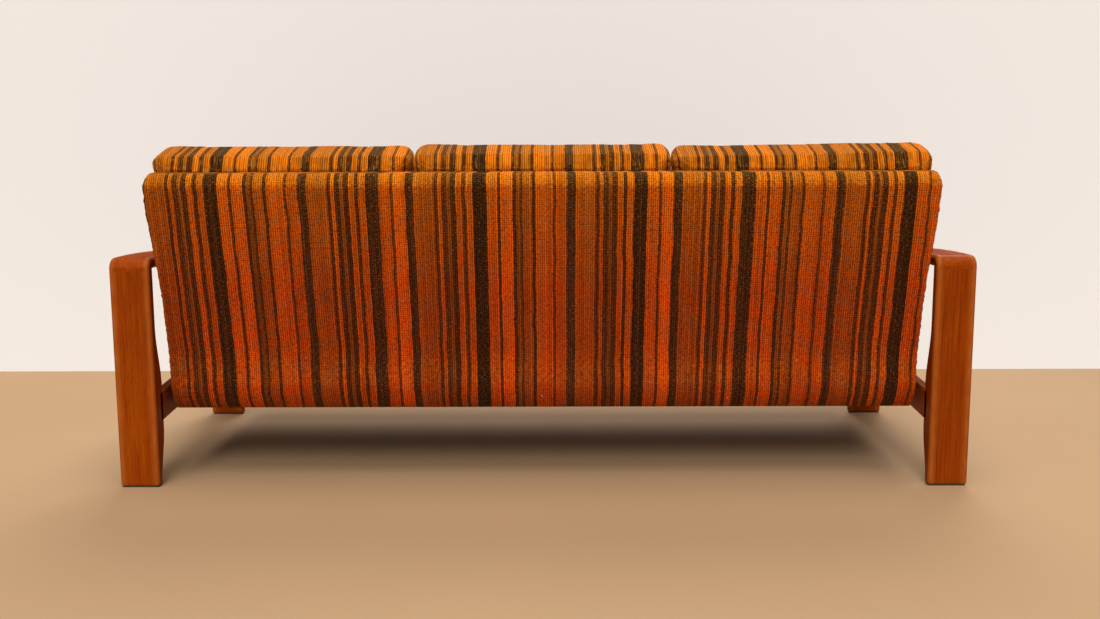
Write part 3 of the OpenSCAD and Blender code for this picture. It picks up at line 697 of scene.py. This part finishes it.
rng = np.random.default_rng(11)
FINE_PER_FACE, BACK_FACES, BACK_ARC, BACK_SIDE = 18, 59, 5, 5
back_fine = FINE_PER_FACE * BACK_FACES
back_section = ring(back_fine, BACK_FACES, BACK_ARC, BACK_SIDE)
line_rear, line_front = back_line(True), back_line(False)
rows = len(line_rear)
run = np.concatenate([[0], np.cumsum(np.linalg.norm(np.diff(line_rear, axis=0), axis=1))])
top_run = run[-TOP_STEPS - 1]
over_top = np.clip((run - top_run) / (run[-1] - top_run), 0, 1)
# the sides stand out a little more towards the top, then round in over it, in millimetres
OUT_LOW, OUT_HIGH, IN_OVER_TOP = 1.2, 10.8, 15.0
drawn_in = (IN_OVER_TOP * (1 - np.cos(over_top * 1.5)) - OUT_LOW
            - OUT_HIGH * ease((line_rear[:, 1] - 420) / 260))
points = loft(line_rear, line_front, -SHELL_HALF + drawn_in, SHELL_HALF - drawn_in, BACK_EDGE,
              back_section)
cols = points.shape[1]
side_a = back_section[2] >= 0
normals = grid_normals(points)
outside = np.sign(np.sum(normals * (points - points.mean(axis=1, keepdims=True)), axis=-1))
normals *= np.where(np.median(outside) < 0, -1, 1)
ribs = np.cos(np.pi * points[:, :, 0] / (1000 * RIB)) ** 2
slubs = rng.normal(size=(rows, cols))
slubs = (slubs + np.roll(slubs, 1, 0) + np.roll(slubs, 1, 1)) / 1.7
fade_ends = np.clip(np.minimum(np.arange(rows), rows - 1 - np.arange(rows)) / 4, 0, 1)[:, None]
hem = 1 - ease((run - 30) / 90)[:, None]
# how far each thing lifts the cloth, in millimetres
CROWN, RIB_LIFT, SLUB_LIFT, LONG_WAVE, SHORT_WAVE, HEM_WAVE = 3.0, 0.9, 0.45, 1.3, 0.8, 3.0
crown = CROWN * np.sin(np.pi * np.clip(run / run[-1], 0, 1))[:, None] * (
    1 - (points[:, :, 0] / SHELL_HALF) ** 4)
lift = (RIB_LIFT * ribs * (0.7 + 0.3 * slubs) + SLUB_LIFT * slubs + crown
        + LONG_WAVE * soft_waves(rng, points, 170.0) + SHORT_WAVE * soft_waves(rng, points, 60.0)
        + hem * HEM_WAVE * (soft_waves(rng, points[:, :, :1], 95.0) - 0.3))
points = points + normals * (np.where(side_a, lift, 0.2 * slubs) * fade_ends)[:, :, None]
reach = np.abs(back_section[0]) * (HALF_T - back_section[2] * HALF_T
                                   - back_section[3] * BACK_EDGE)
across = warp_at(points, reach)
along = np.broadcast_to(run[:, None] / 1000, across.shape)
back = build("back_cover_cloth", points,
             *skin(points, back_fine, BACK_FACES, BACK_ARC + BACK_SIDE),
             {"across": across, "along": along})
finish_piece(back, "frame", "striped_wool", wool, "back_cover")

# ---------------- seat base
# The base is a low upholstered box in the same cloth, with a round front edge. The black cloth
# under it is tacked to its rails.
BASE_H, BASE_SETBACK, BASE_EDGE = 70.0, 26.0, 9.0
BASE_FACES, BASE_ARC, BASE_SIDE = 118, 5, 4
BASE_LEN = (FRAME_D - BASE_SETBACK + DECK_Y) / math.cos(SLOPE)


def on_deck(y, z):
    """The (y, z) of a point in seat measures: y runs along the deck, less than 0 in front of its
    rear, and z is off the deck."""
    y, z = np.broadcast_arrays(np.asarray(y, float), np.asarray(z, float))
    return np.stack([DECK_Y + y * math.cos(SLOPE) + z * math.sin(SLOPE),
                     DECK_Z - y * math.sin(SLOPE) + z * math.cos(SLOPE)], axis=-1)


turn = np.linspace(0, np.pi / 2, 7)
inset = np.concatenate([BASE_EDGE * (1 - np.sin(turn)), np.zeros(60)])
y = np.concatenate([-BASE_LEN + BASE_EDGE * (1 - np.cos(turn)),
                    np.linspace(BASE_EDGE - BASE_LEN, 0, 61)[1:]])
y_low = y + BASE_H * math.tan(SLOPE) * np.clip((y + BASE_LEN) / BASE_LEN, 0, 1)
base_section = ring(BASE_FACES, BASE_FACES, BASE_ARC, BASE_SIDE)
points = loft(on_deck(y, -inset), on_deck(y_low, inset - BASE_H), inset - SHELL_HALF,
              SHELL_HALF - inset, BASE_EDGE, base_section)
points = points + soft_waves(rng, points, 90.0)[:, :, None] * (0, 0, 0.6)
reach = np.where(np.abs(base_section[0]) > 0.999, (1 - base_section[2]) * BASE_H / 2, 0)
across = warp_at(points, reach)
along = (points[:, :, 1] + points[:, :, 2]) / 1000
base = build("seat_base_cloth", points,
             *skin(points, BASE_FACES, BASE_FACES, BASE_ARC + BASE_SIDE),
             {"across": across, "along": along})
finish_piece(base, "frame", "striped_wool", wool, "seat_base_cover")

# ---------------- loose cushions
# Three seat cushions and three back cushions, each a foam block in a cover of the same cloth.
# The cover is swelled as cloth round the block, then pressed flat where it rests or leans.
SEATS, SEAT_GAP, ARM_GAP = 3, 3.0, 3.0
CUSHION_W = (2 * (FRAME_IN - ARM_GAP) - (SEATS - 1) * SEAT_GAP) / SEATS
SEAT_T, BACK_CUSHION_T, BACK_CUSHION_H, SETBACK, REST_GAP, CUSHION_R = 128, 140, 796, 8, 0.5, 30
REAR_GAP = REST_GAP + (BEND_Z + BACK_T * math.tan(LEAN / 2) - DECK_Z) * math.tan(SLOPE)
SEAT_LEN = (FRAME_D - SETBACK + DECK_Y) / math.cos(SLOPE) - REAR_GAP
LEAN_Q = BACK_T + REST_GAP
BACK_TOP_S = (BACK_CUSHION_H - BEND_Z - (LEAN_Q + BACK_CUSHION_T - CUSHION_R) * math.sin(LEAN)
              - CUSHION_R) / math.cos(LEAN) + CUSHION_R
HALF_CUSHION = CUSHION_W / 2
TOUCH_X = HALF_CUSHION + 0.7
SWELL_CAP, SWELL_PRESSURE, PULL_IN, VOXEL, SWELL_FRAMES = 26.0, 4.0, 0.25, 0.0065, 20
FOAM_FACES, FOAM_ARC, FOAM_SIDE = 24, 8, 5
CREASES = ((260.0, 3.0), (110.0, 1.6), (55.0, 0.7))  # length and depth of each size of crease
PUCKER, SEAM_DEPTH, LOOP_LIFT = 17.0, 2.2, 0.35
HAIR, BACK_CROWN, FRONT_CROWN, SEAT_CROWN, OVER_BACK = 0.3, 8, 6, 8, 6
CORNER_R = 24.0  # roundness of a back cushion's upper corners
SAME_WARP = 0.139  # metres of warp from a cushion's edge back to a wide dark band's edge


def foam_block(width, thick, length, edge):
    """A block with all its edges rounded, its length along y: sections that shrink at each end by
    one less the sine of an angle, times the edge."""
    turn = np.linspace(0, np.pi / 2, 9)
    end = edge * (1 - np.sin(turn))
    inset = np.concatenate([end, np.zeros(30), end[::-1]])
    step = edge * (1 - np.cos(turn))
    y = np.concatenate([step - length / 2, np.linspace(edge - length / 2, length / 2 - edge, 32)
                        [1:-1], length / 2 - step[::-1]])
    section = ring(FOAM_FACES, FOAM_FACES, FOAM_ARC, FOAM_SIDE)
    points = loft(np.stack([y, thick / 2 - inset], 1), np.stack([y, inset - thick / 2], 1),
                  inset - width / 2, width / 2 - inset, edge, section)
    return (points, *skin(points, FOAM_FACES, FOAM_FACES, FOAM_ARC + FOAM_SIDE))


def settled(made):
    """The piece's own shape with its modifiers worked in: (points in millimetres, mesh)."""
    graph = bpy.context.evaluated_depsgraph_get()
    mesh = bpy.data.meshes.new_from_object(made.evaluated_get(graph))
    co = np.empty(len(mesh.vertices) * 3, np.float32)
    mesh.vertices.foreach_get("co", co)
    return co.reshape(-1, 3).astype(float) * 1000, mesh


def put(mesh, points):
    """Puts points in millimetres back into a mesh in metres."""
    mesh.vertices.foreach_set("co", (points / 1000).astype(np.float32).ravel())
    mesh.update()


def swell(name, block):
    """Swells a closed block as a cloth bag under pressure without weight, with no point allowed to
    move further than the cap. Gives the points and the mesh, with its place at the origin."""
    made = build(name, block[0] - (0, SHIFT_Y, 0), block[1], block[2])
    even = made.modifiers.new("even", "REMESH")
    even.mode, even.voxel_size = "VOXEL", VOXEL
    before, mesh = settled(made)
    made.modifiers.clear()
    made.data = mesh
    bag = made.modifiers.new("bag", "CLOTH")
    bag.settings.use_pressure = True
    bag.settings.uniform_pressure_force = SWELL_PRESSURE
    bag.settings.effector_weights.gravity = 0
    bag.settings.quality = 5
    bag.point_cache.frame_start, bag.point_cache.frame_end = 1, SWELL_FRAMES
    for step in range(1, SWELL_FRAMES + 1):
        bpy.context.scene.frame_set(step)
    after, _ = settled(made)
    bpy.context.scene.frame_set(1)
    moved = (after - before) * (PULL_IN, PULL_IN, 1)
    far = np.linalg.norm(moved, axis=1, keepdims=True)
    bpy.data.objects.remove(made)
    return before + moved * np.minimum(1, SWELL_CAP / np.maximum(far, 1e-9)), mesh


def press(value, limit, soft=3.0):
    """Keeps values below a limit: past the limit less a soft margin they close on it as one less
    an exponential."""
    start = limit - soft
    return np.where(value > start, start + soft * (1 - np.exp(-(value - start) / soft)), value)


def smooth(value, low, high):
    """Nought below low, one above high, and smooth between."""
    f = np.clip((value - low) / (high - low), 0, 1)
    return f * f * (3 - 2 * f)


def cover(body, middle, seed, bag, place, limits, *sizes):
    """Finishes one cushion cover: its own creases, pressed faces, one subdivision, a sewn seam
    along each side, rough loops, and how far each point lies across and along the warp. The bag is
    its swelled shape and mesh, and the sizes are what the limits need to know of this cushion."""
    rng = np.random.default_rng(seed)
    shape, mesh = bag
    points = shape
    for size, depth in CREASES:
        points = points + depth * np.stack([soft_waves(rng, shape, size) for _ in range(3)], 1)
    mesh = mesh.copy()
    put(mesh, limits(points, *sizes))
    name = body + "_cover"
    made = placed(name, mesh)
    finer = made.modifiers.new("finer", "SUBSURF")
    finer.levels = finer.render_levels = 1
    points, fine = settled(made)
    bpy.data.objects.remove(made)
    bpy.data.meshes.remove(mesh)
    fine.name = name
    turned = np.empty(len(points) * 3, np.float32)
    fine.vertex_normals.foreach_get("vector", turned)
    turned = turned.reshape(-1, 3).astype(float)
    sideways = np.abs(turned[:, 0])
    seam = np.exp(-((sideways - 0.72) / 0.13) ** 2)
    pucker = 0.6 + 0.4 * np.sin(points[:, 1] * 2 * np.pi / PUCKER
                                + 3 * soft_waves(rng, points, 90))
    lift = LOOP_LIFT * rng.normal(size=len(points)) - SEAM_DEPTH * seam * pucker
    points = limits(points + turned * lift[:, None], *sizes)
    put(fine, place(points) + (middle, SHIFT_Y, 0))
    thick = np.abs(points[:, 2]).max()
    wrap = smooth(sideways, 0.45, 0.9) * (thick - np.abs(points[:, 2]))
    across = (HALF_CUSHION - points[:, 0] - np.sign(points[:, 0]) * wrap) / 1000 - SAME_WARP
    along = (points[:, 1] + points[:, 2]) / 1000
    mark(fine, {"across": across, "along": along})
    fine.polygons.foreach_set("use_smooth", np.ones(len(fine.polygons), bool))
    made = placed(name, fine)
    finish_piece(made, body, "striped_wool", cushion_wool, body, body.replace("cushion", "core"))


def zip_parts(length):
    """A zip along x, 12 mm wide and facing +z: two tapes, teeth 2.5 mm apart on each, a slider and
    its tab. Each is a small bevelled block: a box whose upper corners are drawn in."""
    def blocks(x, y, z, sx, sy, sz, draw=0.25):
        x, y, z = (np.atleast_1d(np.asarray(v, float)) for v in (x, y, z))
        x, y, z = np.broadcast_arrays(x, y, z)
        unit = np.array([[i, j, k] for k in (0, 1) for j in (-1, 1) for i in (-1, 1)], float)
        unit[4:, :2] *= 1 - draw
        spot = np.stack([x, y, z], 1)[:, None] + unit * (sx / 2, sy / 2, sz)
        face = np.array([[0, 2, 3, 1], [4, 5, 7, 6], [0, 1, 5, 4], [2, 6, 7, 3], [0, 4, 6, 2],
                         [1, 3, 7, 5]])
        return spot.reshape(-1, 3), (face + 8 * np.arange(len(x))[:, None, None]).reshape(-1, 4)

    pitch, margin = 2.5, 4
    tooth = np.arange(-length / 2 + margin, length / 2 - margin, pitch)
    tapes = blocks(0, [-3.4, 3.4], 0, length, 5.2, 0.7, 0.02)
    upper_teeth = blocks(tooth, 0.55, 0.3, 1.5, 2.6, 1.1)
    lower_teeth = blocks(tooth + pitch / 2, -0.55, 0.3, 1.5, 2.6, 1.1)
    slider = blocks(length / 2 - 12, 0, 0.6, 9, 6.4, 1.3)
    tab = blocks(length / 2 - 20, 0, 0.7, 14, 3.6, 0.9)
    points, faces, start = [], [], 0
    for spot, face in (tapes, upper_teeth, lower_teeth, slider, tab):
        points.append(spot)
        faces.append(face + start)
        start += len(spot)
    return np.concatenate(points), np.concatenate(faces)


zip_finish = fibres("brass_zip", (0.055, 0.028, 0.012), (0.20, 0.10, 0.03), 800, 0.45, 0.0002,
                    metal=0.35)
ZIP_LEN, ZIP_W, ZIP_SUNK, BED_SUNK = 0.72 * CUSHION_W, 12.0, 2.2, 2.4
zip_points, zip_faces = zip_parts(ZIP_LEN)

seat_bag = swell("seat_bag", foam_block(CUSHION_W + 1, SEAT_T - 22, SEAT_LEN + 2, 34))
SEAT_MID_Y, SEAT_MID_Z = -REAR_GAP - SEAT_LEN / 2, REST_GAP + SEAT_T / 2


def zip_bed(points, way, middle, axis, level):
    """Draws the cover level over the strip that the zip lies in: the strip's middle is given one
    way, and its level along another axis."""
    strip = (smooth(-np.abs(points[:, way] - middle), -13, -8)
             * smooth(-np.abs(points[:, 0]), -ZIP_LEN / 2 - 14, -ZIP_LEN / 2 - 2)
             * (points[:, axis] > level / 2))
    points[:, axis] = points[:, axis] * (1 - strip) + level * strip
    return points


def seat_limits(points):
    """The seat cushion's room: its neighbours or the arms at the sides, the deck below, the back
    behind, the back cushion over its rear part, and a low crown in front."""
    points = points.copy()
    points[:, 0] = np.sign(points[:, 0]) * press(np.abs(points[:, 0]), TOUCH_X)
    points[:, 1] = press(points[:, 1], SEAT_LEN / 2 - HAIR)
    points[:, 1] = -press(-points[:, 1], SEAT_LEN / 2 + FRONT_CROWN)
    points[:, 2] = -press(-points[:, 2], SEAT_T / 2 - HAIR)
    top = SEAT_T / 2 - 0.4 + SEAT_CROWN * smooth(-points[:, 1], -110, 60)
    points[:, 2] = press(points[:, 2], top)
    return zip_bed(points, 2, 0.0, 1, SEAT_LEN / 2 - BED_SUNK)


def seat_place(points):
    """From the cushion's own middle to the deck, in millimetres."""
    return np.column_stack([points[:, 0], on_deck(points[:, 1] + SEAT_MID_Y,
                                                  points[:, 2] + SEAT_MID_Z)])


BACK_LOW = on_deck(0, SEAT_T + 2 * REST_GAP)
BACK_LOW_S = (BACK_LOW - (BACK_Y, BEND_Z)) @ (math.sin(LEAN), math.cos(LEAN))
BACK_LOW_Q = (BACK_LOW - (BACK_Y, BEND_Z)) @ (-math.cos(LEAN), math.sin(LEAN))
CUT = math.tan(LEAN - SLOPE)


def back_bottom(q):
    """How far up the slab the seat cushion's top lies, for a distance forward of the back."""
    return BACK_LOW_S - (q - BACK_LOW_Q) * CUT


BACK_MID_Q = LEAN_Q + BACK_CUSHION_T / 2
BACK_LEN = BACK_TOP_S - back_bottom(BACK_MID_Q)
BACK_MID_S = BACK_TOP_S - BACK_LEN / 2
BACK_ZIP_S = BACK_TOP_S / 2 + ZIP_W / 2
back_block = foam_block(CUSHION_W + 5, BACK_CUSHION_T - 20, BACK_LEN + 22, 30)
cut_end = (back_block[0][:, :, 1] / BACK_LEN - 0.5) * back_block[0][:, :, 2] * -CUT
back_block = (back_block[0] + cut_end[:, :, None] * (0, 1, 0), *back_block[1:])
back_bag = swell("back_bag", back_block)


def back_limits(points, rise, tilt):
    """The back cushion's room: its neighbours at the sides, the leaning back behind, the seat
    cushion below and a crown in front and above. Here z is minus forward, and y is up. Its top
    stands higher by the rise, and by the tilt at its left end, and turns down at both ends."""
    points = points.copy()
    points[:, 0] = np.sign(points[:, 0]) * press(np.abs(points[:, 0]), TOUCH_X)
    clear = smooth(points[:, 1] + BACK_MID_S, SLAB + 12, SLAB + 45)
    points[:, 2] = press(points[:, 2], BACK_CUSHION_T / 2 - HAIR + OVER_BACK * clear)
    points[:, 2] = -press(-points[:, 2], BACK_CUSHION_T / 2 + BACK_CROWN)
    low = BACK_MID_S - back_bottom(BACK_MID_Q - points[:, 2])
    points[:, 1] = -press(-points[:, 1], low - HAIR)
    into_corner = np.clip(np.abs(points[:, 0]) - HALF_CUSHION + CORNER_R, 0, CORNER_R - 1)
    drop = CORNER_R - np.sqrt(CORNER_R ** 2 - into_corner ** 2)
    top = BACK_TOP_S - BACK_MID_S + rise + tilt * points[:, 0] / HALF_CUSHION - drop
    points[:, 1] = press(points[:, 1], top, 6.0)
    return zip_bed(points, 1, BACK_ZIP_S - BACK_MID_S, 2, BACK_CUSHION_T / 2 - BED_SUNK)


def back_place(points):
    """From the cushion's own middle to the back, in millimetres."""
    return np.column_stack([points[:, 0], on_slab(BACK_MID_Q - points[:, 2],
                                                  points[:, 1] + BACK_MID_S)])


x, up, out = zip_points.T
zip_places = {"seat": on_deck(-REAR_GAP - ZIP_SUNK + out, SEAT_MID_Z + up),
              "back": on_slab(LEAN_Q + ZIP_SUNK - out, BACK_ZIP_S + up)}
for n, (word, rise, tilt) in enumerate((("left", 1, 0), ("centre", 5, 0), ("right", 3, -5))):
    middle = (1 - n) * (CUSHION_W + SEAT_GAP)
    cover("seat_cushion_" + word, middle, 20 + n, seat_bag, seat_place, seat_limits)
    cover("back_cushion_" + word, middle, 40 + n, back_bag, back_place, back_limits, rise, tilt)
    for kind, yz in zip_places.items():
        made = build("%s_zip_%s_teeth" % (kind, word), np.column_stack([x + middle, yz]), zip_faces)
        made.data.polygons.foreach_set("use_smooth", np.zeros(len(made.data.polygons), bool))
        finish_piece(made, "%s_cushion_%s" % (kind, word), "zip", zip_finish,
                     "%s_zip_%s" % (kind, word))
